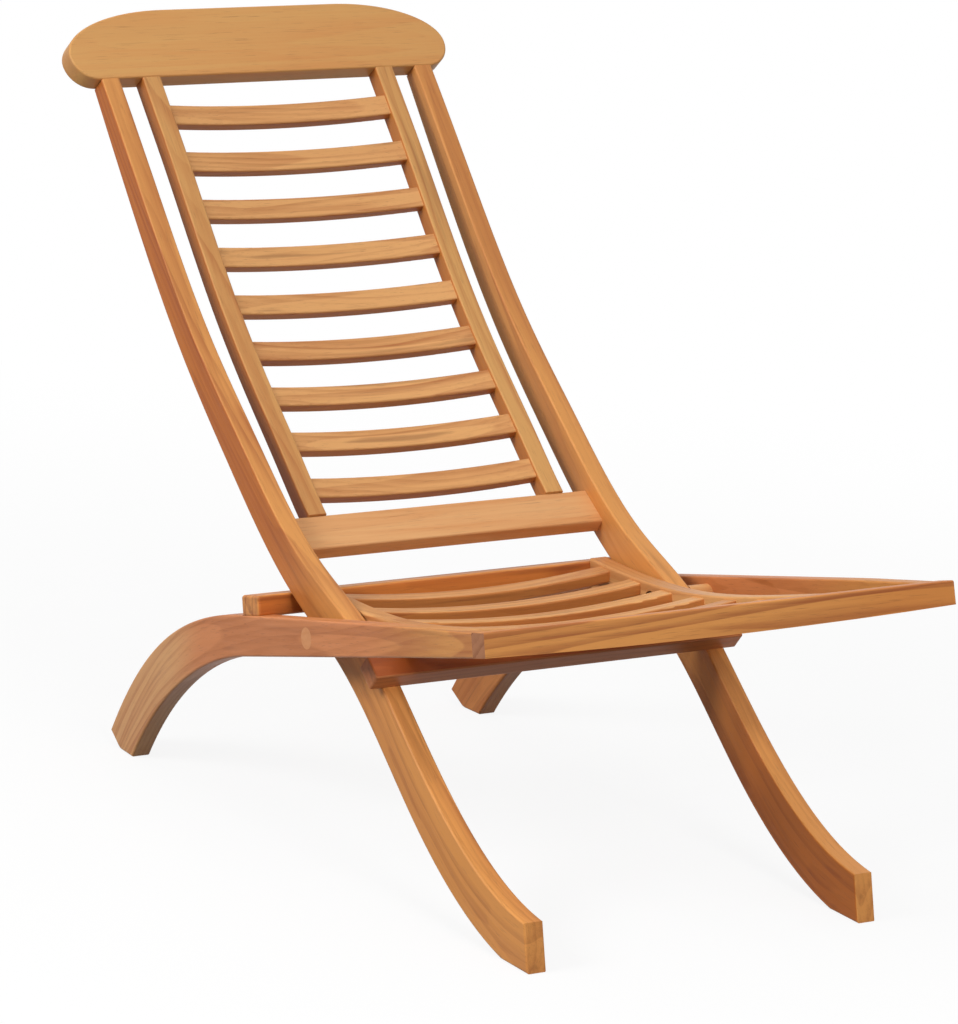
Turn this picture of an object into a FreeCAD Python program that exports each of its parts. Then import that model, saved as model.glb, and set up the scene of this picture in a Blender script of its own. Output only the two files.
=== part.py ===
import FreeCAD, Part
import math
import os

# Folding garden chair in two crossing wooden frames. Millimetres, +Z up, floor at z = 0.
# The sitter looks along -Y. Left is the -X side. All slopes are read in the y-z side view.

# Boards
board_thickness = 20.0
edge_round = 2.0

# Seat frame in plan: its side rails spread towards the front
seat_front_width = 500.0
rear_foot_width = 417.5

# Seat side rail in side view: straight seat part, then a bend down to the rear foot
seat_front_y = -446.5
seat_front_z = 290.0
seat_pitch_deg = 15.7
front_end_depth = 20.5
taper_start = 122.0
taper_depth = 26.5
knee_depth = 38.5
seat_straight = 462.0
rear_leg_inner_point = (129.0, 101.5)
rear_leg_outer_point = (175.0, 128.0)
rear_foot_y = 224.0
rear_foot_lean_deg = 59.5
foot_spare = 14.0
foot_depth = 49.0
heel_round = 13.0

# Front rail across the ends of the side rails
front_rail_depth = 22.0
front_rail_height = 22.0
front_rail_belly = 4.0

# Headrest, in the plane of the upper back
headrest_width = 426.0
headrest_height = 76.0
headrest_thickness = 20.0
headrest_top_corner_width = 115.0
headrest_bottom_corner = 27.0

# Pivot axis
pivot_y = -122.0
pivot_z = 216.5

# Back rail: centre line from the toe to the headrest as (y, z, depth)
back_rail_spacing = 354.5
back_rail_line = [
    (-470.0, 18.0, 48.0),
    (-375.8, 33.6, 47.0),
    (-265.3, 95.2, 44.0),
    (-180.3, 162.6, 42.5),
    (pivot_y, 202.8, 44.0),
    (-32.7, 242.6, 38.5),
    (94.7, 330.6, 34.0),
    (190.6, 409.8, 29.8),
    (305.2, 529.2, 26.0),
    (392.5, 627.6, headrest_thickness),
]
toe_y = -450.0
toe_lean_deg = 14.0

# Back panel between the back rails, sinking behind their front edges towards the lower rail
stile_spacing = 264.0
stile_width = 20.0
stile_depth = 18.0
lower_rail_drop = 16.0
lower_rail_height = 40.0
lower_rail_thickness = 16.0
lower_rail_y = 6.0
back_slat_count = 9
back_slat_pitch = 53.2
back_slat_first = 42.0
back_slat_height = 22.0
back_slat_thickness = 12.0
back_slat_setback = 2.5
back_slat_dish = 8.0

# Pivot hardware through seat rail, spacer, back rail and bearer
bolt_diameter = 8.0
running_clearance = 0.05
side_clearance = 0.3
bolt_head_diameter = 15.0
bolt_head_height = 4.5
bolt_socket = 5.0
bolt_socket_depth = 2.5
bolt_end_spare = 1.0
washer_diameter = 18.0
washer_thickness = 1.5
nut_width = 13.0
nut_height = 6.5
plug_diameter = 20.0
plug_thickness = 4.5
spacer_diameter = 20.0
bearer_gap = 2.4

# Seat bearers inside the back rails, with a dished upper edge: (y, z) from front to rear
bearer_front_run = 6.5
bearer_front_rise = 16.5
bearer_front_drop = 4.0
bearer_top_line = [
    (seat_front_y + bearer_front_run, seat_front_z + bearer_front_rise),
    (-330.0, 276.5),
    (-238.0, 251.5),
    (-171.0, 238.0),
    (-95.0, 231.0),
    (10.0, 231.0),
]
bearer_bottom_line = [
    (seat_front_y + bearer_front_run, seat_front_z - bearer_front_drop),
    (-330.0, 254.5),
    (-258.0, 235.0),
    (-180.0, 216.0),
    (pivot_y, 200.5),
    (10.0, 204.0),
]

# Seat slats between the bearers
seat_slat_count = 8
seat_slat_first = 24.0
seat_slat_last = 25.3
seat_slat_width = 20.0
seat_slat_thickness = 12.0
seat_slat_sink = 3.0
seat_slat_dish = 9.0

# Rear crossbar on top of the seat rails
crossbar_depth = 31.0
crossbar_height = 20.0
crossbar_end_inset = 2.5
crossbar_housing = 1.5
crossbar_round = 3.0
stop_clearance = 0.3

# Stretcher on the front of the legs
stretcher_y = -187.5
stretcher_height = 25.0
stretcher_thickness = 19.5
stretcher_overhang = 13.0
stretcher_housing = 1.5

# Joinery
tenon_length = 10.0
tenon_height = 14.0
tenon_thickness = 7.0
tenon_root = 1.0
lower_rail_tenon_height = 28.0
dowel_diameter = 8.0
dowel_depth = 18.0
small_dowel_diameter = 6.0
small_dowel_depth = 14.0
small_dowel_spacing = 10.0
crossbar_dowel_depth = 13.0
crossbar_dowel_spacing = 15.0
screw_diameter = 5.0
screw_head_diameter = 10.0
screw_head_height = 3.0
screw_sink = 26.0
screw_bite = 13.0
screw_slot_width = 1.2
screw_slot_depth = 1.2

# Working sizes of the construction
reach = 900.0
halvings = 60
short_edge = 5.0
mostly = 0.5
left = -1.0
right = 1.0

V = FreeCAD.Vector
axis_x = V(1, 0, 0)


def unit(degrees):
    """Direction in the side view: degrees above the rearward horizontal."""
    angle = math.radians(degrees)
    return (math.cos(angle), math.sin(angle))


def step(point, direction, length):
    """Point reached from a side-view point along a direction."""
    return (point[0] + direction[0] * length, point[1] + direction[1] * length)


def upper_normal(direction):
    """Side-view normal on the upper and front side of a rearward direction."""
    return (-direction[1], direction[0])


def at(point, x=0.0):
    """Space vector of a side-view point."""
    return V(x, point[0], point[1])


def spline(points):
    """Smooth side-view curve through points."""
    curve = Part.BSplineCurve()
    curve.interpolate([at(point) for point in points])
    return curve


def led(first, middle, last, first_direction, last_direction):
    """Smooth side-view curve through three points with given end directions."""
    curve = Part.BSplineCurve()
    curve.interpolate(Points=[at(first), at(middle), at(last)],
                      InitialTangent=at(first_direction), FinalTangent=at(last_direction))
    return curve


def point_on(curve, parameter):
    """Side-view point and rearward unit tangent of a curve."""
    place = curve.value(parameter)
    tangent = curve.tangent(parameter)[0]
    size = math.hypot(tangent.y, tangent.z)
    direction = (tangent.y / size, tangent.z / size)
    if direction[0] < 0:
        direction = (-direction[0], -direction[1])
    return (place.y, place.z), direction


def find_on(curve, side_of):
    """Parameter where a signed side test changes sign along a curve."""
    low = curve.FirstParameter
    high = curve.LastParameter
    start = side_of(curve.value(low)) > 0
    for turn in range(halvings):
        middle = (low + high) / 2
        if (side_of(curve.value(middle)) > 0) == start:
            low = middle
        else:
            high = middle
    return low


def at_y(curve, y):
    """Side-view point and tangent of a curve at a given y."""
    return point_on(curve, find_on(curve, lambda place: place.y - y))


def prism(edges, x_low, x_high):
    """Solid between two x planes over a closed side-view outline."""
    wire = Part.Wire(Part.__sortEdges__(edges))
    face = Part.Face(wire)
    face.translate(V(x_low, 0, 0))
    return face.extrude(V(x_high - x_low, 0, 0))


def line(first, second):
    """Straight side-view edge."""
    return Part.LineSegment(at(first), at(second)).toShape()


def placed(shape, point, direction):
    """Local x, s, n solid set at a side-view point, s along a direction and n on its upper side."""
    normal = upper_normal(direction)
    matrix = FreeCAD.Matrix(
        1, 0, 0, 0,
        0, direction[0], normal[0], point[0],
        0, direction[1], normal[1], point[1],
        0, 0, 0, 1)
    moved = shape.copy()
    moved.Placement = FreeCAD.Placement(matrix).multiply(shape.Placement)
    return moved


def box(x_low, x_high, s_low, s_high, n_low, n_high):
    """Local box by its limits."""
    corner = V(x_low, s_low, n_low)
    return Part.makeBox(x_high - x_low, s_high - s_low, n_high - n_low, corner)


def bar(half_length, height, thickness):
    """Local bar centred on its own middle."""
    return box(-half_length, half_length, -height / 2, height / 2, -thickness / 2, thickness / 2)


def rod(diameter, x_low, x_high, y, z):
    """Cylinder along X by its two ends."""
    return Part.makeCylinder(diameter / 2, x_high - x_low, V(x_low, y, z), axis_x)


def sided(side, x_near, x_far):
    """Ordered x limits on one side of the chair from two distances to the middle."""
    limits = sorted((side * x_near, side * x_far))
    return limits[0], limits[1]


def rounded(shape, radius, keep=None):
    """Solid with its edges rounded; keep picks the edges that stay sharp."""
    edges = [edge for edge in shape.Edges if keep is None or not keep(edge)]
    return shape.makeFillet(radius, edges)


def first_tangent(edge):
    """Direction of an edge at its start."""
    return edge.tangentAt(edge.FirstParameter)


def across_x(edge):
    """Whether an edge runs across the X axis."""
    return abs(first_tangent(edge).x) < mostly


def along_z(edge):
    """Whether an edge runs along the Z axis."""
    return abs(first_tangent(edge).z) > mostly


def end_edge(edge):
    """Whether an edge lies in the end faces of a slat or board, or is one of its short ends."""
    return edge.BoundBox.YLength < board_thickness


def through_edge(edge):
    """Whether an edge only crosses the thickness of a side board."""
    return edge.BoundBox.YLength + edge.BoundBox.ZLength < short_edge


def write(name, shape):
    """One STEP file for a node."""
    shape.exportStep(os.path.join("parts", name + ".step"))


# Places that several pieces share
seat_direction = unit(-seat_pitch_deg)
seat_normal = upper_normal(seat_direction)
seat_front = (seat_front_y, seat_front_z)
back_rail_outer = back_rail_spacing / 2 + board_thickness / 2
back_rail_inner = back_rail_spacing / 2 - board_thickness / 2
bearer_outer = back_rail_inner - bearer_gap
bearer_inner = bearer_outer - board_thickness
stile_outer = stile_spacing / 2 + stile_width / 2
stile_inner = stile_spacing / 2 - stile_width / 2

# Rear foot of the seat rail, where its inner edge meets the floor
knee = step(seat_front, seat_direction, seat_straight)
foot_direction = unit(-rear_foot_lean_deg)
foot_end = step((rear_foot_y, 0.0), foot_direction, foot_spare)
inner_curve = led(knee, rear_leg_inner_point, foot_end, seat_direction, foot_direction)
foot_inner_y = point_on(inner_curve, find_on(inner_curve, lambda place: place.z))[0][0]
splay = (seat_front_width - rear_foot_width) / 2 / (foot_inner_y - seat_front_y)
slant = math.hypot(1.0, splay)


def seat_rail_outer(y):
    """Distance of a seat rail's outer face from the middle plane at a given y."""
    return seat_front_width / 2 - splay * (y - seat_front_y)


def slab(side, outer_offset, inner_offset):
    """Tall slab between two planes parallel to a seat rail's faces."""
    corners = []
    for y, offset in (
            (-reach, outer_offset),
            (reach, outer_offset),
            (reach, inner_offset),
            (-reach, inner_offset),
            (-reach, outer_offset)):
        corners.append(V(side * (seat_rail_outer(y) - offset * slant), y, -reach))
    return Part.Face(Part.makePolygon(corners)).extrude(V(0, 0, 2 * reach))


# Seat rail outline: lower edge, rear foot, rear edge, upper edge, front end
front_top = step(seat_front, seat_normal, front_end_depth)
taper_foot = step(seat_front, seat_direction, taper_start)
taper_top = step(taper_foot, seat_normal, taper_depth)
knee_top = step(knee, seat_normal, knee_depth)
top_slope = (knee_top[0] - taper_top[0], knee_top[1] - taper_top[1])
top_length = math.hypot(top_slope[0], top_slope[1])
top_direction = (top_slope[0] / top_length, top_slope[1] / top_length)
top_normal = upper_normal(top_direction)
taper_slope = (taper_top[0] - front_top[0], taper_top[1] - front_top[1])
taper_length = math.hypot(taper_slope[0], taper_slope[1])
taper_chord = (taper_slope[0] / taper_length, taper_slope[1] / taper_length)
taper_middle = step(front_top, taper_chord, taper_length / 2)
heel_end = step(foot_end, upper_normal(foot_direction), foot_depth)
outer_curve = led(knee_top, rear_leg_outer_point, heel_end, top_direction, foot_direction)
taper_curve = led(front_top, taper_middle, taper_top, taper_chord, top_direction)
seat_rail_edges = [
    line(seat_front, knee),
    inner_curve.toShape(),
    line(foot_end, heel_end),
    outer_curve.toShape(),
    line(knee_top, taper_top),
    taper_curve.toShape(),
    line(front_top, seat_front),
]
floor_space = Part.makeBox(2 * reach, 2 * reach, 2 * reach, V(-reach, -reach, 0))
seat_rail_prism = prism(seat_rail_edges, -reach, reach).common(floor_space)

# Back rail outline: front and rear edges at half the depth from the centre line
centre_curve = spline([(y, z) for y, z, depth in back_rail_line])
front_points = []
rear_points = []
for y, z, depth in back_rail_line:
    centre, tangent = point_on(centre_curve, centre_curve.parameter(at((y, z))))
    front_points.append(step(centre, upper_normal(tangent), depth / 2))
    rear_points.append(step(centre, upper_normal(tangent), -depth / 2))
front_curve = spline(front_points)
rear_curve = spline(rear_points)
back_rail_edges = [
    front_curve.toShape(),
    line(front_points[-1], rear_points[-1]),
    rear_curve.toShape(),
    line(rear_points[0], front_points[0]),
]
toe_space = placed(box(-reach, reach, 0, 2 * reach, -reach, reach), (toe_y, 0.0), unit(-toe_lean_deg))
back_rail_prism = prism(back_rail_edges, -reach, reach).common(floor_space).common(toe_space)
back_top, back_top_direction = point_on(centre_curve, centre_curve.LastParameter)

# Rear crossbar: its upper front corner stands just behind the back rails
crossbar_rise = crossbar_height - crossbar_housing
crossbar_level = step(knee_top, top_normal, crossbar_rise)


def above_crossbar(place):
    """Height of a space point above the plane of the crossbar's upper face."""
    return (place.y - crossbar_level[0]) * top_normal[0] + (place.z - crossbar_level[1]) * top_normal[1]


leaning_point = point_on(rear_curve, find_on(rear_curve, above_crossbar))[0]
crossbar_top_front = step(leaning_point, top_direction, stop_clearance / abs(top_direction[1]))
crossbar_base = step(crossbar_top_front, top_normal, -crossbar_height)
crossbar_half = seat_rail_outer(crossbar_base[0]) - crossbar_end_inset
crossbar_box = box(-crossbar_half, crossbar_half, 0, crossbar_depth, 0, crossbar_height)
crossbar_blank = placed(crossbar_box, crossbar_base, top_direction)
crossbar = placed(rounded(crossbar_box, crossbar_round), crossbar_base, top_direction)

# Stretcher: it lies in shallow housings on the front edges of the legs
stretcher_seat, stretcher_direction = at_y(front_curve, stretcher_y)
stretcher_base = step(stretcher_seat, upper_normal(stretcher_direction), -stretcher_housing)
stretcher_half = back_rail_outer + stretcher_overhang
stretcher_box = box(-stretcher_half, stretcher_half, 0, stretcher_height, 0, stretcher_thickness)
stretcher_blank = placed(stretcher_box, stretcher_base, stretcher_direction)
stretcher = placed(rounded(stretcher_box, edge_round), stretcher_base, stretcher_direction)

# Front rail: covers the front ends of the side rails, slightly bellied below
front_rail_half = seat_front_width / 2
front_rail_ends = (V(-front_rail_half, 0, 0), V(front_rail_half, 0, 0))
front_rail_tops = [end + V(0, 0, front_rail_height) for end in front_rail_ends]
front_rail_face = Part.Face(Part.Wire([
    Part.Arc(front_rail_ends[0], V(0, 0, -front_rail_belly), front_rail_ends[1]).toShape(),
    Part.LineSegment(front_rail_ends[1], front_rail_tops[1]).toShape(),
    Part.LineSegment(front_rail_tops[1], front_rail_tops[0]).toShape(),
    Part.LineSegment(front_rail_tops[0], front_rail_ends[0]).toShape(),
]))
front_rail_bar = front_rail_face.extrude(V(0, front_rail_depth, 0))
front_rail_bar = rounded(front_rail_bar, edge_round, lambda edge: edge.BoundBox.ZMin < front_rail_height)
front_rail = placed(front_rail_bar, seat_front, seat_direction)

# Lower back rail: its front face lies behind the front edges of the back rails
lower_rail_front, lower_rail_direction = at_y(front_curve, lower_rail_y)
half_height = lower_rail_height / 2
half_thickness = lower_rail_thickness / 2
lower_rail_sink = lower_rail_drop + half_thickness
lower_rail_place = step(lower_rail_front, upper_normal(lower_rail_direction), -lower_rail_sink)
lower_rail_bar = bar(back_rail_inner, lower_rail_height, lower_rail_thickness)
lower_rail_bar = rounded(lower_rail_bar, edge_round, across_x)
lower_rail_tenon = bar(back_rail_inner + tenon_length, lower_rail_tenon_height, tenon_thickness)
lower_rail = placed(lower_rail_bar.fuse(lower_rail_tenon), lower_rail_place, lower_rail_direction)

# Headrest: straight lower edge, round lower corners and long elliptic upper corners
half_head = headrest_width / 2
corner_s = headrest_bottom_corner
upper_x = half_head - headrest_top_corner_width
lower_x = half_head - headrest_bottom_corner
corner_rise = headrest_height - corner_s


def head_point(x, s):
    """Point in the headrest's own plane."""
    return V(x, s, -headrest_thickness / 2)


def head_corner(centre_x, x_radius, s_radius, quarter):
    """Quarter ellipse of the headrest's outline, counted from its right end."""
    centre = head_point(centre_x, corner_s)
    ellipse = Part.Ellipse(centre + V(x_radius, 0, 0), centre + V(0, s_radius, 0), centre)
    start = quarter * math.pi / 2
    return Part.ArcOfEllipse(ellipse, start, start + math.pi / 2).toShape()


def head_line(half_length, s):
    """Straight edge of the headrest's outline."""
    return Part.LineSegment(head_point(half_length, s), head_point(-half_length, s)).toShape()


head_edges = [
    head_corner(upper_x, headrest_top_corner_width, corner_rise, 0),
    head_line(upper_x, headrest_height),
    head_corner(-upper_x, headrest_top_corner_width, corner_rise, 1),
    head_corner(-lower_x, headrest_bottom_corner, corner_s, 2),
    head_line(lower_x, 0.0),
    head_corner(lower_x, headrest_bottom_corner, corner_s, 3),
]
head_face = Part.Face(Part.Wire(Part.__sortEdges__(head_edges)))
head_board = head_face.extrude(V(0, 0, headrest_thickness))
headrest = placed(rounded(head_board, edge_round, along_z), back_top, back_top_direction)


def only(shape):
    """The single solid that a cut leaves."""
    return shape.Solids[0]


def less(shape, cutters):
    """Solid with every cutter taken out of it."""
    for cutter in cutters:
        shape = shape.cut(cutter)
    return only(shape)


def dowel(diameter, depth, x, s, n):
    """Local dowel along s, reaching a depth to both sides of a joint."""
    return Part.makeCylinder(diameter / 2, 2 * depth, V(x, s - depth, n), V(0, 1, 0))


def dished_bar(half_length, width, thickness, face, dish):
    """Local slat whose face drops by the dish in the middle."""
    edges = []
    for level in (face, face - thickness):
        ends = (V(-half_length, 0, level), V(half_length, 0, level))
        edges.append(Part.Arc(ends[0], V(0, 0, level - dish), ends[1]).toShape())
    for x in (-half_length, half_length):
        edges.append(Part.LineSegment(V(x, 0, face), V(x, 0, face - thickness)).toShape())
    slat = Part.Face(Part.Wire(Part.__sortEdges__(edges))).extrude(V(0, width, 0))
    slat.translate(V(0, -width / 2, 0))
    return rounded(slat, edge_round, lambda edge: edge.BoundBox.XLength < half_length)


def slat_tenon(side, half_length, middle, root):
    """Local tenon on one end of a slat, let into its end by the root."""
    x_low, x_high = sided(side, half_length - root, half_length + tenon_length)
    half_tenon = tenon_thickness / 2
    return box(x_low, x_high, -tenon_height / 2, tenon_height / 2, middle - half_tenon, middle + half_tenon)


def slat_row(curve, distances, half_length, width, thickness, face, dish):
    """Slats and their tenon shapes at distances along a side-view curve."""
    slats = []
    tenons = {left: [], right: []}
    middle = face - thickness / 2
    slat = dished_bar(half_length, width, thickness, face, dish)
    for side in (left, right):
        slat = slat.fuse(slat_tenon(side, half_length, middle, tenon_root))
    slat = only(slat)
    for distance in distances:
        parameter = curve.parameterAtDistance(distance, curve.FirstParameter)
        point, direction = point_on(curve, parameter)
        slats.append(placed(slat, point, direction))
        for side in (left, right):
            tenons[side].append(placed(slat_tenon(side, half_length, middle, 0.0), point, direction))
    return slats, tenons


os.makedirs("parts", exist_ok=True)

# Stile line: flush with the back rails' front above, level with the lower rail below
low_parameter = find_on(front_curve, lambda place: place.y - lower_rail_front[0])
top_parameter = front_curve.LastParameter
stile_stations = 6
stile_half = stile_depth / 2
stile_points = []
for index in range(stile_stations + 1):
    share = index / stile_stations
    point, direction = point_on(front_curve, low_parameter + share * (top_parameter - low_parameter))
    drop = (lower_rail_sink - stile_half) * (1 - share) ** 2
    stile_points.append(step(point, upper_normal(direction), -drop - stile_half))
stile_points.append(step(stile_points[-1], back_top_direction, tenon_length))
stile_points.insert(0, step(stile_points[0], lower_rail_direction, -tenon_length))
stile_curve = spline(stile_points)
stile_edges = []
stile_ends = []
for level in (stile_half, -stile_half):
    edge_points = []
    for point in stile_points:
        centre, direction = point_on(stile_curve, stile_curve.parameter(at(point)))
        edge_points.append(step(centre, upper_normal(direction), level))
    stile_edges.append(spline(edge_points).toShape())
    stile_ends.append((edge_points[0], edge_points[-1]))
for end in (0, 1):
    stile_edges.append(line(stile_ends[0][end], stile_ends[1][end]))
below_headrest = placed(box(-reach, reach, -2 * reach, 0, -reach, reach), back_top, back_top_direction)
above_lower_rail = placed(box(-reach, reach, half_height, 2 * reach, -reach, reach),
                          lower_rail_place, lower_rail_direction)


def above_headrest_edge(place):
    """Distance of a space point above the headrest's lower edge."""
    rise = (place.y - back_top[0], place.z - back_top[1])
    return rise[0] * back_top_direction[0] + rise[1] * back_top_direction[1]


# Back slats hang from the top of the stiles
stile_length = stile_curve.length(stile_curve.FirstParameter, find_on(stile_curve, above_headrest_edge))
back_lead = stile_length - back_slat_first
back_distances = [back_lead - index * back_slat_pitch for index in range(back_slat_count)]
back_slats, back_tenons = slat_row(stile_curve, back_distances, stile_inner, back_slat_height,
                                   back_slat_thickness, stile_half - back_slat_setback, back_slat_dish)

# Seat slats follow the dished upper edge of the bearers, counted from the front rail
bearer_top_curve = spline(bearer_top_line)
bearer_bottom_curve = spline(bearer_bottom_line)


def behind_front_rail(place):
    """Distance of a space point behind the rear face of the front rail."""
    run = (place.y - seat_front[0], place.z - seat_front[1])
    return run[0] * seat_direction[0] + run[1] * seat_direction[1] - front_rail_depth


def before_crossbar(place):
    """Distance of a space point before the front face of the rear crossbar."""
    run = (crossbar_base[0] - place.y, crossbar_base[1] - place.z)
    return run[0] * top_direction[0] + run[1] * top_direction[1]


bearer_start = find_on(bearer_top_curve, behind_front_rail)
bearer_run = bearer_top_curve.length(bearer_start, find_on(bearer_top_curve, before_crossbar))
bearer_lead = bearer_top_curve.length(bearer_top_curve.FirstParameter, bearer_start) + seat_slat_first
seat_slat_pitch = (bearer_run - seat_slat_first - seat_slat_last) / (seat_slat_count - 1)
seat_distances = [bearer_lead + index * seat_slat_pitch for index in range(seat_slat_count)]
seat_slats, seat_tenons = slat_row(bearer_top_curve, seat_distances, bearer_inner, seat_slat_width,
                                   seat_slat_thickness, -seat_slat_sink, seat_slat_dish)
bearer_edges = [
    bearer_top_curve.toShape(),
    bearer_bottom_curve.toShape(),
    line(bearer_top_line[0], bearer_bottom_line[0]),
    line(bearer_top_line[-1], bearer_bottom_line[-1]),
]
behind_rail = box(-reach, reach, front_rail_depth, 2 * reach, -reach, reach)
behind_rail = placed(behind_rail, seat_front, seat_direction)
before_bar = placed(box(-reach, reach, -2 * reach, 0, -reach, reach), crossbar_base, top_direction)
bearer_space = behind_rail.common(before_bar)
bearer_middle = (bearer_outer + bearer_inner) / 2

# Dowels and screws
headrest_dowels = []
stile_dowels = []
front_rail_dowels = []
crossbar_dowels = []
bearer_dowels = []
stretcher_screws = []
screw_holes = []
rail_middle = board_thickness * slant / 2
crossbar_joint = seat_rail_outer(crossbar_base[0] + crossbar_depth / 2) - rail_middle
front_joint = seat_rail_outer(step(seat_front, seat_direction, front_rail_depth)[0]) - rail_middle
screw_profile = Part.makePolygon([
    V(0, 0, -screw_sink),
    V(screw_head_diameter / 2, 0, -screw_sink),
    V(screw_diameter / 2, 0, screw_head_height - screw_sink),
    V(screw_diameter / 2, 0, screw_bite),
    V(0, 0, screw_bite),
    V(0, 0, -screw_sink),
])
screw_blank = Part.Face(screw_profile).revolve(V(0, 0, 0), V(0, 0, 1), 360)
screw_slot = box(-screw_head_diameter, screw_head_diameter, -screw_slot_width / 2, screw_slot_width / 2,
                 -screw_sink, screw_slot_depth - screw_sink)
screw_access = Part.makeCylinder(screw_head_diameter / 2, reach, V(0, 0, -screw_sink), V(0, 0, -1))
screw_room = screw_blank.fuse(screw_access)
for side in (left, right):
    for spacing in (back_rail_spacing, stile_spacing):
        pin = dowel(dowel_diameter, dowel_depth, side * spacing / 2, 0.0, 0.0)
        headrest_dowels.append(placed(pin, back_top, back_top_direction))
    pin = dowel(dowel_diameter, dowel_depth, side * stile_spacing / 2, half_height, 0.0)
    stile_dowels.append(placed(pin, lower_rail_place, lower_rail_direction))
    pin = dowel(small_dowel_diameter, small_dowel_depth, side * bearer_middle, front_rail_depth,
                front_rail_height / 2)
    bearer_dowels.append(placed(pin, seat_front, seat_direction))
    pin = dowel(small_dowel_diameter, small_dowel_depth, side * bearer_middle, 0.0, crossbar_height / 2)
    bearer_dowels.append(placed(pin, crossbar_base, top_direction))
    for offset in (-1, 1):
        level = front_rail_height / 2 + offset * small_dowel_spacing / 2
        pin = dowel(small_dowel_diameter, small_dowel_depth, side * front_joint, front_rail_depth, level)
        front_rail_dowels.append(placed(pin, seat_front, seat_direction))
        foot = V(side * crossbar_joint, crossbar_depth / 2 + offset * crossbar_dowel_spacing / 2,
                 -crossbar_dowel_depth)
        pin = Part.makeCylinder(dowel_diameter / 2, 2 * crossbar_dowel_depth, foot)
        crossbar_dowels.append(placed(pin, crossbar_base, top_direction))
    for blank, group in ((screw_room, screw_holes), (screw_blank.cut(screw_slot), stretcher_screws)):
        screw = blank.copy()
        screw.translate(V(side * back_rail_spacing / 2, stretcher_height / 2, 0))
        group.append(placed(screw, stretcher_base, stretcher_direction))

# Pivot hardware on the right side
hole_diameter = bolt_diameter + 2 * running_clearance
counterbore = plug_thickness + bolt_head_height + washer_thickness
counterbore_floor = seat_rail_outer(pivot_y) - counterbore
head_seat = counterbore_floor + washer_thickness
head_top = head_seat + bolt_head_height
nut_seat = bearer_inner + washer_thickness + nut_height + bolt_end_spare
nut_face = nut_seat - washer_thickness
far_inside = 0.0
far_outside = seat_front_width
hexagon_corners = 6


def pivot_rod(diameter, near, far):
    """Cylinder on the pivot axis between two distances from the middle plane."""
    return rod(diameter, near, far, pivot_y, pivot_z)


def hexagon(width, x_start, x_end):
    """Hexagonal prism on the pivot axis by its width across flats."""
    turns = [2 * math.pi * index / hexagon_corners for index in range(hexagon_corners + 1)]
    corner = width / 2 / math.cos(math.pi / hexagon_corners)
    points = [V(x_start, pivot_y + corner * math.cos(turn), pivot_z + corner * math.sin(turn))
              for turn in turns]
    return Part.Face(Part.makePolygon(points)).extrude(V(x_end - x_start, 0, 0))


hole = pivot_rod(hole_diameter, far_inside, far_outside)
shank = pivot_rod(bolt_diameter, bearer_inner, head_seat)
cap = pivot_rod(bolt_head_diameter, head_seat, head_top)
bolt = only(shank.fuse(cap).cut(hexagon(bolt_socket, head_top, head_top - bolt_socket_depth)))
plug = only(pivot_rod(plug_diameter, head_top, far_outside).common(slab(right, 0.0, board_thickness)))
spacer = pivot_rod(spacer_diameter, back_rail_outer + side_clearance, far_outside)
spacer = less(spacer, [slab(right, -reach, board_thickness), hole])
washers = []
for near, far in (
        (counterbore_floor, head_seat),
        (nut_face, nut_seat),
        (bearer_outer, back_rail_inner - side_clearance)):
    washers.append(only(pivot_rod(washer_diameter, near, far).cut(hole)))
nut = hexagon(nut_width, nut_face, nut_face - nut_height)
nut = only(nut.cut(pivot_rod(bolt_diameter, far_inside, far_outside)))

# Side boards on the right side
counterbore_hole = pivot_rod(plug_diameter, counterbore_floor, far_outside)
nut_hole = pivot_rod(washer_diameter, far_inside, nut_seat)

seat_rail = only(seat_rail_prism.common(slab(right, 0.0, board_thickness)))
heel = []
for edge in seat_rail.Edges:
    limits = edge.BoundBox
    on_floor = limits.ZMax < edge_round and limits.YMin > foot_inner_y + heel_round
    if on_floor and limits.XLength > board_thickness / 2:
        heel.append(edge)
seat_rail = rounded(seat_rail.makeFillet(heel_round, heel), edge_round, through_edge)
seat_rail = only(seat_rail.common(behind_rail))
seat_rail = less(seat_rail, [crossbar_blank, hole, counterbore_hole] + front_rail_dowels + crossbar_dowels)

back_rail_room = box(back_rail_inner, back_rail_outer, -reach, reach, -reach, reach)
back_rail = rounded(only(back_rail_prism.common(back_rail_room)), edge_round, through_edge)
lower_tenon = placed(lower_rail_tenon, lower_rail_place, lower_rail_direction)
back_rail = less(back_rail, [stretcher_blank, hole, lower_tenon] + headrest_dowels + screw_holes)

bearer = only(prism(bearer_edges, bearer_inner, bearer_outer).common(bearer_space))
bearer = rounded(bearer, edge_round, end_edge)
bearer = less(bearer, seat_tenons[right] + [hole, nut_hole] + bearer_dowels)

stile = prism(stile_edges, stile_inner, stile_outer).common(below_headrest).common(above_lower_rail)
stile = rounded(only(stile), edge_round, end_edge)
stile = less(stile, back_tenons[right] + headrest_dowels + stile_dowels)


def mirrored(shape):
    """Solid on the other side of the chair's middle plane."""
    return shape.mirror(V(0, 0, 0), axis_x)


for name, shape in (
        ("seat_rail", seat_rail),
        ("back_rail", back_rail),
        ("seat_bearer", bearer),
        ("back_stile", stile),
        ("pivot_bolt", bolt),
        ("pivot_plug", plug),
        ("pivot_spacer", spacer)):
    write(name + "_right", shape)
    write(name + "_left", mirrored(shape))

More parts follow.
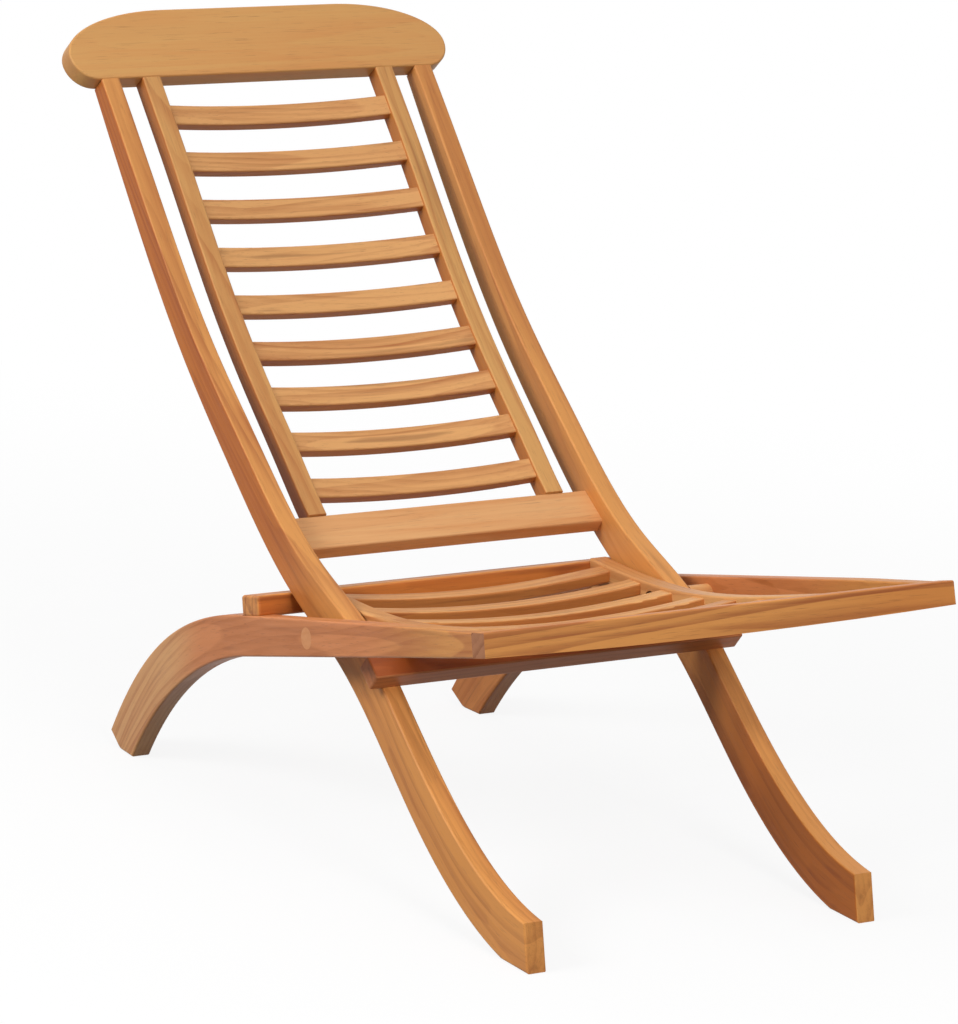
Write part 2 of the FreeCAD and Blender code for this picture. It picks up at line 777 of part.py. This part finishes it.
# Cross pieces
outer_slabs = [slab(side, -board_thickness, 0.0) for side in (left, right)]
write("front_rail", less(front_rail, outer_slabs + front_rail_dowels + bearer_dowels))
write("rear_crossbar", less(crossbar, crossbar_dowels + bearer_dowels))
write("leg_stretcher", less(stretcher, screw_holes))
write("lower_back_rail", less(lower_rail, stile_dowels))
write("headrest", less(headrest, headrest_dowels))
for index, slat in enumerate(back_slats):
    write("back_slat_%d" % (index + 1), slat)
for index, slat in enumerate(seat_slats):
    write("seat_slat_%d" % (index + 1), slat)

# Groups of like fasteners
write("pivot_washers", Part.makeCompound(washers + [mirrored(washer) for washer in washers]))
write("pivot_nuts", Part.makeCompound([nut, mirrored(nut)]))
write("headrest_dowels", Part.makeCompound(headrest_dowels))
write("stile_dowels", Part.makeCompound(stile_dowels))
write("front_rail_dowels", Part.makeCompound(front_rail_dowels))
write("crossbar_dowels", Part.makeCompound(crossbar_dowels))
write("bearer_dowels", Part.makeCompound(bearer_dowels))
write("stretcher_screws", Part.makeCompound(stretcher_screws))
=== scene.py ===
import math
import bpy
from mathutils import Matrix, Vector

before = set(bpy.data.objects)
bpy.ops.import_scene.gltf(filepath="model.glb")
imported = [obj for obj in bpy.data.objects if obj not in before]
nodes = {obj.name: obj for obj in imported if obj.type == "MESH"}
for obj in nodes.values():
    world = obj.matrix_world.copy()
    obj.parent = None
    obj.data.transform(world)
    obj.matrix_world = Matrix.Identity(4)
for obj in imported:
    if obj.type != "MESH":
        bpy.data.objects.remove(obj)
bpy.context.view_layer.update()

scene = bpy.context.scene
scene.view_settings.view_transform = "Standard"
x_axis, y_axis, z_axis = 0, 1, 2

# Camera at the photograph's viewing angle
camera_place = Vector((-2.569145, -3.956526, 1.50516))
camera_heading = math.radians(33.27)
camera_dip = math.radians(14.498)
camera_roll = math.radians(3.753)
camera_lens = 182.32
camera_sensor = 36.0
camera_reach = 100.0

# Studio
floor_size = 40.0
floor_drop = 0.0005
floor_bounce = (0.15, 0.15, 0.15, 1.0)
floor_seen = (0.90, 0.90, 0.90, 1.0)
floor_glow_near = 0.88
floor_glow_far = 1.0
floor_fade = (0.5, 1.8)
floor_roughness = 0.9
sky_low = 0.12
sky_high = 0.46
sky_bright_height = 0.8
backdrop_white = (1.0, 1.0, 1.0, 1.0)
chair_middle = (0.0, 0.0, 0.3)
key_light = {"place": (-0.3, -3.6, 2.65), "size": 1.3, "watts": 66.0}
side_light = {"place": (-3.2, 0.2, 2.3), "size": 1.4, "watts": 86.0}
top_light = {"place": (0.3, -0.9, 3.4), "size": 2.4, "watts": 12.0}


def linear(red, green, blue):
    """Scene colour of a screen colour in 0 to 255."""
    channels = []
    for level in (red, green, blue):
        share = level / 255
        channels.append(share / 12.92 if share <= 0.04045 else ((share + 0.055) / 1.055) ** 2.4)
    return (channels[0], channels[1], channels[2], 1.0)


# Teak colours
honey = linear(209, 155, 91)
tan = linear(221, 163, 102)
golden = linear(214, 147, 79)
sunny = linear(227, 154, 82)
amber = linear(204, 130, 70)
rose = linear(213, 135, 82)
sandy = linear(220, 165, 110)
pale_sap = linear(222, 176, 128)
russet = linear(170, 97, 49)
umber = linear(118, 64, 33)
end_brown = linear(168, 114, 82)
plug_wood = linear(218, 150, 98)
# Multiplier for painted shade on faces that fall in shadow
painted_shade_brown = (0.79, 0.54, 0.32, 1.0)

# Teak figure: noise stretches along, across and through a board, then the ranges and shares of each effect
seed_shift = (3.17, 1.73, 2.39)
wander_stretch = (1.9, 5.0, 5.0)
wander_depth = 0.055
drift_stretch = (3.3, 9.0, 9.0)
drift_depth = 0.03
ripple_stretch = (4.0, 70.0, 70.0)
ripple_share = 0.9
late_wood_rise = (0.25, 0.92)
late_wood_fall = (0.93, 1.0)
faintest_ring = 0.2
flame_stretch = (1.0, 17.0, 17.0)
flame_layers = 8.0
flame_rise = (0.1, 0.9)
flame_fall = (0.92, 1.0)
flame_mean = 0.35
fibre_stretch = (7.0, 330.0, 330.0)
fibre_share = 0.6
pore_stretch = (38.0, 1250.0, 1250.0)
pore_range = (0.60, 0.72)
pore_share = 0.28
streak_stretch = (3.0, 90.0, 90.0)
streak_range = (0.60, 0.74)
tone_stretch = (1.5, 16.0, 16.0)
tone_mean = 0.45
tone_share = 1.2
blush_stretch = (1.1, 21.0, 21.0)
blush_range = (0.44, 0.70)
end_ring_share = 0.6
end_share = 0.9

# Parts of the normal along X that count as an end, and as a left face that gets painted shade
end_face_range = (0.75, 0.95)
left_shade_range = (-0.9, -0.6)

# Teak surface
wood_roughness = 0.38
fibre_roughness = 0.22
end_roughness = 0.15
fibre_height = 0.7
pore_height = -0.8
ring_height = 0.25
wood_bump = 0.6
grain_relief = 0.00022
wood_specular = 0.25
coat_roughness = 0.35

# Steel
steel_dark = linear(150, 150, 152)
steel_light = linear(196, 196, 198)
brush_stretch = (120.0, 1900.0, 1900.0)
cloud_stretch = (60.0, 60.0, 60.0)
steel_roughness = 0.22
brush_roughness = 0.25
steel_bump = 0.25
steel_relief = 0.00005


class Wiring:
    """Short calls for adding and linking the nodes of one tree."""

    def __init__(self, tree):
        self.tree = tree

    def add(self, kind, **settings):
        node = self.tree.nodes.new(kind)
        for name, value in settings.items():
            setattr(node, name, value)
        return node

    def feed(self, socket, value):
        if isinstance(value, bpy.types.NodeSocket):
            self.tree.links.new(value, socket)
        elif value is not None:
            socket.default_value = value

    def math(self, operation, first, second=None, third=None, clamp=False):
        node = self.add("ShaderNodeMath", operation=operation, use_clamp=clamp)
        for socket, value in zip(node.inputs, (first, second, third)):
            self.feed(socket, value)
        return node.outputs[0]

    def vector(self, operation, first, second=None):
        node = self.add("ShaderNodeVectorMath", operation=operation)
        self.feed(node.inputs[0], first)
        self.feed(node.inputs[1], second)
        return node.outputs[0]

    def split(self, vector):
        node = self.add("ShaderNodeSeparateXYZ")
        self.feed(node.inputs[0], vector)
        return node.outputs

    def join(self, x, y, z):
        node = self.add("ShaderNodeCombineXYZ")
        for socket, value in zip(node.inputs, (x, y, z)):
            self.feed(socket, value)
        return node.outputs[0]

    def noise(self, vector, stretch, detail=2.0, roughness=0.5):
        node = self.add("ShaderNodeTexNoise")
        self.feed(node.inputs["Vector"], self.vector("MULTIPLY", vector, stretch))
        node.inputs["Scale"].default_value = 1.0
        node.inputs["Detail"].default_value = detail
        node.inputs["Roughness"].default_value = roughness
        return node.outputs[0]

    def range(self, value, low, high, to_low=0.0, to_high=1.0):
        node = self.add("ShaderNodeMapRange", interpolation_type="SMOOTHSTEP")
        for socket, number in zip(node.inputs, (value, low, high, to_low, to_high)):
            self.feed(socket, number)
        return node.outputs[0]

    def mix(self, share, first, second, blend="MIX"):
        node = self.add("ShaderNodeMix", data_type="RGBA", blend_type=blend)
        self.feed(node.inputs[0], share)
        self.feed(node.inputs[6], first)
        self.feed(node.inputs[7], second)
        return node.outputs[2]


def new_group(name, inputs, outputs):
    """Empty shader node group with its sockets, its wiring and its two end nodes."""
    tree = bpy.data.node_groups.new(name, "ShaderNodeTree")
    for label, kind, value in inputs:
        socket = tree.interface.new_socket(label, in_out="INPUT", socket_type=kind)
        socket.default_value = value
    for label, kind in outputs:
        tree.interface.new_socket(label, in_out="OUTPUT", socket_type=kind)
    wiring = Wiring(tree)
    return tree, wiring, wiring.add("NodeGroupInput").outputs, wiring.add("NodeGroupOutput").inputs


def teak_grain_group():
    """Teak figure over a board: along the grain in x, across in y and through in z, in metres."""
    tree, w, given, result = new_group(
        "Teak grain",
        (
            ("Place", "NodeSocketVector", (0.0, 0.0, 0.0)),
            ("Seed", "NodeSocketFloat", 0.0),
            ("Heart", "NodeSocketVector", (0.0, 0.05, 0.03)),
            ("Run-out", "NodeSocketFloat", 0.05),
            ("Ring width", "NodeSocketFloat", 0.006),
            ("Figure", "NodeSocketFloat", 0.5),
            ("Flame", "NodeSocketFloat", 0.3),
            ("Streak", "NodeSocketFloat", 0.3),
            ("Blush", "NodeSocketFloat", 0.4),
            ("End", "NodeSocketFloat", 0.0),
            ("Painted shade", "NodeSocketFloat", 0.0),
            ("Light wood", "NodeSocketColor", honey),
            ("Dark wood", "NodeSocketColor", russet),
        ),
        (
            ("Color", "NodeSocketColor"),
            ("Roughness", "NodeSocketFloat"),
            ("Height", "NodeSocketFloat"),
        ))
    place = given["Place"]
    shift = w.vector("MULTIPLY", w.join(given["Seed"], given["Seed"], given["Seed"]), seed_shift)
    spot = w.vector("ADD", place, shift)
    along, across, through = w.split(place)
    heart = w.split(given["Heart"])

    # Growth rings round a heart line that wanders and runs out of the board
    wander = w.math("SUBTRACT", w.noise(spot, wander_stretch), 0.5)
    drift = w.math("SUBTRACT", w.noise(spot, drift_stretch), 0.5)
    side = w.math("ADD", across, heart[1])
    side = w.math("MULTIPLY_ADD", along, given["Run-out"], side)
    side = w.math("MULTIPLY_ADD", wander, wander_depth, side)
    rise = w.math("ADD", through, heart[2])
    rise = w.math("MULTIPLY_ADD", drift, drift_depth, rise)
    radius = w.math("SQRT", w.math("ADD", w.math("POWER", side, 2.0), w.math("POWER", rise, 2.0)))
    ripple = w.math("SUBTRACT", w.noise(spot, ripple_stretch, 3.0), 0.5)
    phase = w.math("MULTIPLY_ADD", ripple, ripple_share, w.math("DIVIDE", radius, given["Ring width"]))
    share = w.math("FRACT", phase)
    rise_line = w.range(share, *late_wood_rise)
    fall_line = w.range(share, *late_wood_fall, 1.0, 0.0)
    late = w.math("MULTIPLY", rise_line, fall_line)
    chance = w.add("ShaderNodeTexWhiteNoise", noise_dimensions="1D")
    w.feed(chance.inputs["W"], w.math("ADD", w.math("FLOOR", phase), given["Seed"]))
    strength = w.math("MULTIPLY_ADD", chance.outputs["Value"], 1.0 - faintest_ring, faintest_ring)
    ring = w.math("MULTIPLY", late, strength)

    # Flame figure: layered tongues with one sharp edge
    tongue = w.math("FRACT", w.math("MULTIPLY", w.noise(spot, flame_stretch, 1.5, 0.45), flame_layers))
    flame = w.math("MULTIPLY", w.range(tongue, *flame_rise), w.range(tongue, *flame_fall, 1.0, 0.0))

    # Fibres, pores, dark streaks and broad changes of tone
    fibre = w.noise(spot, fibre_stretch, 4.0, 0.6)
    pore = w.range(w.noise(spot, pore_stretch), *pore_range)
    streak = w.range(w.noise(spot, streak_stretch), *streak_range)
    tone = w.noise(spot, tone_stretch, 3.0, 0.55)
    warm = w.range(w.noise(spot, blush_stretch), *blush_range)

    depth = w.math("MULTIPLY", ring, given["Figure"])
    depth = w.math("MULTIPLY_ADD", w.math("SUBTRACT", flame, flame_mean), given["Flame"], depth)
    depth = w.math("MULTIPLY_ADD", w.math("SUBTRACT", fibre, 0.5), fibre_share, depth)
    depth = w.math("MULTIPLY_ADD", w.math("SUBTRACT", tone, tone_mean), tone_share, depth, clamp=True)
    wood = w.mix(depth, given["Light wood"], given["Dark wood"])
    wood = w.mix(w.math("MULTIPLY", warm, given["Blush"]), wood, russet)
    wood = w.mix(w.math("MULTIPLY", streak, given["Streak"]), wood, umber)
    wood = w.mix(w.math("MULTIPLY", pore, pore_share), wood, umber)
    # Painted shade: faces in shadow are multiplied towards a dark brown
    wood = w.mix(given["Painted shade"], wood, painted_shade_brown, "MULTIPLY")
    ends = w.mix(w.math("MULTIPLY", ring, end_ring_share), end_brown, umber)
    wood = w.mix(w.math("MULTIPLY", given["End"], end_share), wood, ends)
    w.feed(result["Color"], wood)
    dull = w.math("MULTIPLY_ADD", fibre, fibre_roughness, wood_roughness)
    w.feed(result["Roughness"], w.math("MULTIPLY_ADD", given["End"], end_roughness, dull))
    relief = w.math("MULTIPLY_ADD", pore, pore_height, w.math("MULTIPLY", fibre, fibre_height))
    w.feed(result["Height"], w.math("MULTIPLY_ADD", ring, ring_height, relief))
    return tree


teak_grain = teak_grain_group()


def new_material(name):
    """Material with its wiring and its shader."""
    material = bpy.data.materials.new(name)
    material.use_nodes = True
    wiring = Wiring(material.node_tree)
    return material, wiring, material.node_tree.nodes["Principled BSDF"]


def straight_place(w, turn):
    """Board coordinates of a piece that runs along X, turned about X into its own slope."""
    mapping = w.add("ShaderNodeMapping")
    w.feed(mapping.inputs["Vector"], w.add("ShaderNodeTexCoord").outputs["Object"])
    mapping.inputs["Rotation"].default_value = (-math.radians(turn), 0.0, 0.0)
    return mapping.outputs[0]


def curve_of(w, value, stations):
    """Value read from a smooth curve through (y, value) stations."""
    low_y, high_y = stations[0][0], stations[-1][0]
    levels = [level for y, level in stations]
    low, high = min(levels), max(levels)
    node = w.add("ShaderNodeFloatCurve")
    points = node.mapping.curves[0].points
    while len(points) < len(stations):
        points.new(0.5, 0.5)
    for point, (y, level) in zip(points, stations):
        point.location = ((y - low_y) / (high_y - low_y), (level - low) / (high - low))
        point.handle_type = "AUTO"
    node.mapping.update()
    share = w.math("DIVIDE", w.math("SUBTRACT", value, low_y), high_y - low_y)
    w.feed(node.inputs["Value"], share)
    return w.math("MULTIPLY_ADD", node.outputs[0], high - low, low)


def bent_place(w, centre_line, length_share):
    """Board coordinates of a side board that follows a centre line of (y, z) stations."""
    x, y, z = w.split(w.add("ShaderNodeTexCoord").outputs["Object"])
    across = w.math("SUBTRACT", z, curve_of(w, y, centre_line))
    across = w.math("MULTIPLY", across, length_share)
    return w.join(w.math("DIVIDE", y, length_share), across, x)


def tone_along(w, stations):
    """Colour that changes along a side board, from (y, colour) stations."""
    y = w.split(w.add("ShaderNodeTexCoord").outputs["Object"])[y_axis]
    low, high = stations[0][0], stations[-1][0]
    ramp = w.add("ShaderNodeValToRGB")
    ramp.color_ramp.interpolation = "EASE"
    stops = ramp.color_ramp.elements
    for place, colour in stations[1:-1]:
        stops.new((place - low) / (high - low)).color = colour
    stops[0].color = stations[0][1]
    stops[-1].color = stations[-1][1]
    w.feed(ramp.inputs[0], w.math("DIVIDE", w.math("SUBTRACT", y, low), high - low))
    return ramp.outputs[0]


def teak(name, place_of, seed, heart=(0.05, 0.03), run_out=0.05, ring_width=0.006, figure=0.5, flame=0.3,
         streak=0.3, blush=0.4, light=tan, dark=russet, light_of=None, end_of=None, painted_shade_of=None, coat=0.06):
    """Oiled teak on one board, with painted shade where a shade mask is given."""
    material, w, shader = new_material(name)
    grain = w.add("ShaderNodeGroup", node_tree=teak_grain)
    for label, value in (
            ("Place", place_of(w)),
            ("Seed", seed),
            ("Heart", (0.0, heart[0], heart[1])),
            ("Run-out", run_out),
            ("Ring width", ring_width),
            ("Figure", figure),
            ("Flame", flame),
            ("Streak", streak),
            ("Blush", blush),
            ("End", end_of and end_of(w)),
            ("Painted shade", painted_shade_of and painted_shade_of(w)),
            ("Light wood", light_of(w) if light_of else light),
            ("Dark wood", dark)):
        w.feed(grain.inputs[label], value)
    w.feed(shader.inputs["Base Color"], grain.outputs["Color"])
    w.feed(shader.inputs["Roughness"], grain.outputs["Roughness"])
    bump = w.add("ShaderNodeBump")
    bump.inputs["Strength"].default_value = wood_bump
    bump.inputs["Distance"].default_value = grain_relief
    w.feed(bump.inputs["Height"], grain.outputs["Height"])
    w.feed(shader.inputs["Normal"], bump.outputs[0])
    shader.inputs["Specular IOR Level"].default_value = wood_specular
    shader.inputs["Coat Weight"].default_value = coat
    shader.inputs["Coat Roughness"].default_value = coat_roughness
    return material


def dress(node, material):
    """One finish on a whole CAD node."""
    mesh = nodes[node].data
    mesh.materials.clear()
    mesh.materials.append(material)


def end_facing_x(w, share):
    """Mask of the faces that cut across a piece running along X."""
    normal = w.split(w.add("ShaderNodeTexCoord").outputs["Normal"])
    return w.range(w.math("ABSOLUTE", normal[x_axis]), *end_face_range, 0.0, share)


# Centre lines of the bent boards, (y, z) in metres
seat_rail_line = ((-0.447, 0.300), (-0.325, 0.268), (-0.20, 0.2345), (0.0035, 0.1835), (0.08, 0.160),
                  (0.152, 0.1175), (0.210, 0.060), (0.275, -0.030))
back_rail_line = ((-0.470, 0.0180), (-0.3758, 0.0336), (-0.2653, 0.0952), (-0.1803, 0.1626),
                  (-0.122, 0.2028), (-0.0327, 0.2426), (0.0947, 0.3306), (0.1906, 0.4098),
                  (0.3052, 0.5292), (0.40, 0.636))
stile_line = ((0.0, 0.262), (0.0927, 0.338), (0.190, 0.4185), (0.306, 0.533), (0.40, 0.634))
bearer_line = ((-0.44, 0.296), (-0.33, 0.2655), (-0.25, 0.2445), (-0.175, 0.227), (-0.11, 0.216),
               (0.01, 0.2175))

# Share of each bent board's length that it covers along y
seat_rail_run = 0.90
back_rail_run = 0.77
stile_run = 0.74
bearer_run = 0.97

# Slopes of the pieces across the chair, in degrees about X
back_slope = 45.0
seat_slope = -14.0
plug_slope = 25.0
spacer_end = 0.5

# Tones along the side boards, (y, colour)
seat_rail_tones = {
    "left": ((-0.45, golden), (-0.36, golden), (-0.22, rose), (0.08, rose), (0.16, sandy), (0.28, sandy)),
    # The right rail's rear turns amber as painted shade on its inner face under the seat
    "right": ((-0.45, golden), (-0.36, golden), (-0.22, rose), (0.10, rose), (0.18, amber), (0.28, amber)),
}
back_rail_tones = ((-0.46, sunny), (-0.20, sunny), (-0.05, golden), (0.40, golden))


def left_face_shade(w, low_y, high_y):
    """Painted shade on a side board's -X face, growing from one y to another."""
    coordinates = w.add("ShaderNodeTexCoord").outputs
    left_face = w.range(w.split(coordinates["Normal"])[x_axis], *left_shade_range, 1.0, 0.0)
    return w.math("MULTIPLY", left_face, w.range(w.split(coordinates["Object"])[y_axis], low_y, high_y))


def facing(w, axis, low, high, share):
    """Mask of the faces whose normal along one axis runs from low to high, for painted shade."""
    normal = w.split(w.add("ShaderNodeTexCoord").outputs["Normal"])
    return w.range(normal[axis], low, high, 0.0, share)


def shade_toward_right(w, low_x, high_x, share):
    """Painted shade mask that grows along X from one place to another."""
    return w.range(w.split(w.add("ShaderNodeTexCoord").outputs["Object"])[x_axis], low_x, high_x, 0.0, share)


# Painted shade on some pieces: faces that fall in shadow, and the front rail towards its right end
painted_shades = {
    "back_rail_left": lambda w: left_face_shade(w, low_y=-0.12, high_y=0.05),
    "back_rail_right": lambda w: left_face_shade(w, low_y=-0.12, high_y=-0.30),
    "back_stile_left": lambda w: left_face_shade(w, low_y=-0.2, high_y=-0.1),
    "back_stile_right": lambda w: left_face_shade(w, low_y=-0.2, high_y=-0.1),
    "leg_stretcher": lambda w: facing(w, z_axis, low=0.3, high=0.7, share=1.0),
    "rear_crossbar": lambda w: facing(w, y_axis, low=-0.5, high=-0.9, share=0.9),
    "front_rail": lambda w: shade_toward_right(w, low_x=0.06, high_x=0.22, share=0.4),
}

for number, side in enumerate(("left", "right")):
    dress("seat_rail_" + side, teak(
        "seat rail teak " + side, lambda w: bent_place(w, seat_rail_line, seat_rail_run), 4.1 + number,
        heart=(0.035, 0.26), run_out=0.03, figure=0.3, flame=0.5, blush=0.3,
        light_of=lambda w: tone_along(w, seat_rail_tones[side])))
    dress("back_rail_" + side, teak(
        "back rail teak " + side, lambda w: bent_place(w, back_rail_line, back_rail_run), 7.3 + number,
        heart=(0.02, 0.21), run_out=0.06, figure=0.4, flame=0.4, blush=0.3,
        light_of=lambda w: tone_along(w, back_rail_tones), painted_shade_of=painted_shades["back_rail_" + side]))
    dress("back_stile_" + side, teak(
        "stile teak " + side, lambda w: bent_place(w, stile_line, stile_run), 11.9 + number,
        heart=(0.04, 0.16), run_out=0.04, figure=0.4, flame=0.3, blush=0.3, light=honey,
        painted_shade_of=painted_shades["back_stile_" + side]))
    dress("seat_bearer_" + side, teak(
        "bearer teak " + side, lambda w: bent_place(w, bearer_line, bearer_run), 15.2 + number,
        heart=(0.03, 0.17), run_out=0.05, figure=0.4, flame=0.3, blush=0.4))
    dress("pivot_plug_" + side, teak(
        "plug teak " + side, lambda w: straight_place(w, plug_slope), 19.4 + number,
        heart=(0.3, 0.2), run_out=0.0, figure=0.3, flame=0.2, streak=0.1, blush=0.1,
        light=plug_wood, dark=amber))
    dress("pivot_spacer_" + side, teak(
        "spacer teak " + side, lambda w: straight_place(w, 0.0), 21.7 + number,
        end_of=lambda w: end_facing_x(w, spacer_end)))

# Boards across the chair: slope in degrees, share of end grain that shows, and the values of the teak
cross_pieces = {
    "headrest": {
        "turn": 48.5, "end": 0.33, "seed": 2.7, "heart": (-0.55, 0.60), "run_out": 0.10, "ring_width": 0.011,
        "figure": 0.15, "flame": 0.25, "streak": 0.0, "blush": 0.10, "light": honey, "dark": amber},
    "front_rail": {
        "turn": -15.7, "end": 1.0, "seed": 5.9, "heart": (0.44, -0.28), "run_out": 0.055, "ring_width": 0.010,
        "figure": 0.35, "flame": 0.8, "streak": 0.3, "blush": 0.35, "light": sunny, "dark": russet},
    "rear_crossbar": {
        "turn": -14.0, "end": 0.25, "seed": 8.3, "heart": (-0.01, -0.215), "run_out": 0.02,
        "ring_width": 0.006, "figure": 0.5, "flame": 0.6, "streak": 0.4, "blush": 0.3, "light": sunny,
        "dark": russet},
    "leg_stretcher": {
        "turn": 36.0, "end": 0.17, "seed": 9.6, "heart": (0.03, -0.2), "run_out": 0.03, "ring_width": 0.007,
        "figure": 0.4, "flame": 0.3, "streak": 0.3, "blush": 0.5, "light": rose, "dark": russet},
    "lower_back_rail": {
        "turn": 31.0, "end": 0.33, "seed": 3.8, "heart": (-0.12, -0.2), "run_out": 0.04, "ring_width": 0.008,
        "figure": 0.2, "flame": 0.25, "streak": 0.1, "blush": 0.1, "light": sandy, "dark": amber},
}
for node, look in cross_pieces.items():
    turn, end = look.pop("turn"), look.pop("end")
    dress(node, teak(
        node.replace("_", " ") + " teak", lambda w: straight_place(w, turn), **look,
        end_of=lambda w: end_facing_x(w, end), painted_shade_of=painted_shades.get(node)))

# Back slats: painted shade on their lower faces
back_slat_seeds = (31.2, 32.9, 33.4, 34.8, 35.1, 36.7, 37.5, 38.2, 39.6)
for index, seed in enumerate(back_slat_seeds):
    dress("back_slat_%d" % (index + 1), teak(
        "back slat teak %d" % (index + 1), lambda w: straight_place(w, back_slope), seed,
        heart=(-0.05 * (index % 3), -0.35), run_out=0.05 - 0.03 * (index % 4), figure=0.4, flame=0.35,
        streak=0.45, blush=0.25, painted_shade_of=lambda w: facing(w, z_axis, low=-0.2, high=-0.6, share=1.0)))

# Seat slats: painted shade on their front faces, which the slat in front shadows
seat_slat_seeds = (41.3, 42.6, 43.1, 44.7, 45.9, 46.2, 47.8, 48.4)
for index, seed in enumerate(seat_slat_seeds):
    dress("seat_slat_%d" % (index + 1), teak(
        "seat slat teak %d" % (index + 1), lambda w: straight_place(w, seat_slope), seed,
        heart=(0.1 + 0.04 * (index % 3), -0.2), run_out=0.04 - 0.02 * (index % 4), figure=0.35, flame=0.3,
        streak=0.35, blush=0.3, painted_shade_of=lambda w: facing(w, y_axis, low=-0.4, high=-0.8, share=0.9)))

dowel_wood = teak("dowel wood", lambda w: straight_place(w, 0.0), 51.5, light=pale_sap, dark=honey,
                  figure=0.3, blush=0.1, coat=0.0)
for node in ("headrest_dowels", "stile_dowels", "front_rail_dowels", "crossbar_dowels", "bearer_dowels"):
    dress(node, dowel_wood)


def brushed_steel():
    """Turned and brushed steel of the bolts, washers, nuts and screws."""
    material, w, shader = new_material("brushed steel")
    spot = w.add("ShaderNodeTexCoord").outputs["Object"]
    brush = w.noise(spot, brush_stretch, 3.0, 0.6)
    cloud = w.noise(spot, cloud_stretch)
    tone = w.mix(cloud, steel_dark, steel_light)
    w.feed(shader.inputs["Base Color"], tone)
    w.feed(shader.inputs["Roughness"], w.math("MULTIPLY_ADD", brush, brush_roughness, steel_roughness))
    shader.inputs["Metallic"].default_value = 1.0
    bump = w.add("ShaderNodeBump")
    bump.inputs["Strength"].default_value = steel_bump
    bump.inputs["Distance"].default_value = steel_relief
    w.feed(bump.inputs["Height"], brush)
    w.feed(shader.inputs["Normal"], bump.outputs[0])
    return material


steel = brushed_steel()
for node in ("pivot_bolt_left", "pivot_bolt_right", "pivot_washers", "pivot_nuts", "stretcher_screws"):
    dress(node, steel)

# Floor: a flat white square that keeps a soft shadow
floor_mesh = bpy.data.meshes.new("studio_floor")
half_floor = floor_size / 2
floor_mesh.from_pydata(
    [(-half_floor, -half_floor, 0), (half_floor, -half_floor, 0), (half_floor, half_floor, 0),
     (-half_floor, half_floor, 0)], [], [(0, 1, 2, 3)])
floor = bpy.data.objects.new("studio_floor", floor_mesh)
scene.collection.objects.link(floor)
floor.location.z = -floor_drop


def seen_directly(w):
    """Share of rays that reach a surface as seen by the camera, in gloss or through glass."""
    path = w.add("ShaderNodeLightPath").outputs
    seen = w.math("MAXIMUM", path["Is Camera Ray"], path["Is Glossy Ray"])
    return w.math("MAXIMUM", seen, path["Is Transmission Ray"])


floor_material, floor_w, floor_shader = new_material("studio floor white")
floor_w.feed(
    floor_shader.inputs["Base Color"], floor_w.mix(seen_directly(floor_w), floor_bounce, floor_seen))
floor_shader.inputs["Roughness"].default_value = floor_roughness
floor_shader.inputs["Specular IOR Level"].default_value = 0.0
glow = floor_w.add("ShaderNodeEmission")
glow.inputs["Color"].default_value = backdrop_white
blend = floor_w.add("ShaderNodeMixShader")
spread = floor_w.add("ShaderNodeVectorMath", operation="LENGTH")
floor_w.feed(spread.inputs[0], floor_w.add("ShaderNodeTexCoord").outputs["Object"])
glow_share = floor_w.range(
    spread.outputs["Value"], floor_fade[0], floor_fade[1], floor_glow_near, floor_glow_far)
floor_w.feed(blend.inputs[0], floor_w.math("MULTIPLY", seen_directly(floor_w), glow_share))
floor_w.feed(blend.inputs[1], floor_shader.outputs[0])
floor_w.feed(blend.inputs[2], glow.outputs[0])
floor_w.feed(floor_material.node_tree.nodes["Material Output"].inputs["Surface"], blend.outputs[0])
floor_mesh.materials.append(floor_material)

# World: soft studio light, stronger from above, and white where it is seen directly
world = bpy.data.worlds.new("studio")
scene.world = world
world.use_nodes = True
sky_w = Wiring(world.node_tree)
sky = world.node_tree.nodes["Background"]
sky.inputs["Color"].default_value = backdrop_white
seen = seen_directly(sky_w)
height = sky_w.split(sky_w.add("ShaderNodeTexCoord").outputs["Generated"])[z_axis]
lit = sky_w.range(height, 0.0, sky_bright_height, sky_low, sky_high)
sky_w.feed(sky.inputs["Strength"], sky_w.math("MAXIMUM", seen, lit))


def softbox(name, place, size, watts):
    """Square soft light aimed at the middle of the chair."""
    lamp = bpy.data.lights.new(name, "AREA")
    lamp.shape = "SQUARE"
    lamp.size = size
    lamp.energy = watts
    light = bpy.data.objects.new(name, lamp)
    scene.collection.objects.link(light)
    light.location = place
    light.rotation_euler = (Vector(chair_middle) - Vector(place)).to_track_quat("-Z", "Y").to_euler()


softbox("key light", **key_light)
softbox("side light", **side_light)
softbox("top light", **top_light)

# Camera
ahead = Vector((math.sin(camera_heading) * math.cos(camera_dip),
                math.cos(camera_heading) * math.cos(camera_dip), -math.sin(camera_dip)))
level_right = Vector((math.cos(camera_heading), -math.sin(camera_heading), 0.0))
level_up = level_right.cross(ahead)
right = math.cos(camera_roll) * level_right + math.sin(camera_roll) * level_up
up = math.cos(camera_roll) * level_up - math.sin(camera_roll) * level_right
camera_data = bpy.data.cameras.new("camera")
camera_data.lens = camera_lens
camera_data.sensor_width = camera_sensor
camera_data.clip_end = camera_reach
camera = bpy.data.objects.new("camera", camera_data)
scene.collection.objects.link(camera)
camera.matrix_world = Matrix.Translation(camera_place) @ Matrix((right, up, -ahead)).transposed().to_4x4()
scene.camera = camera
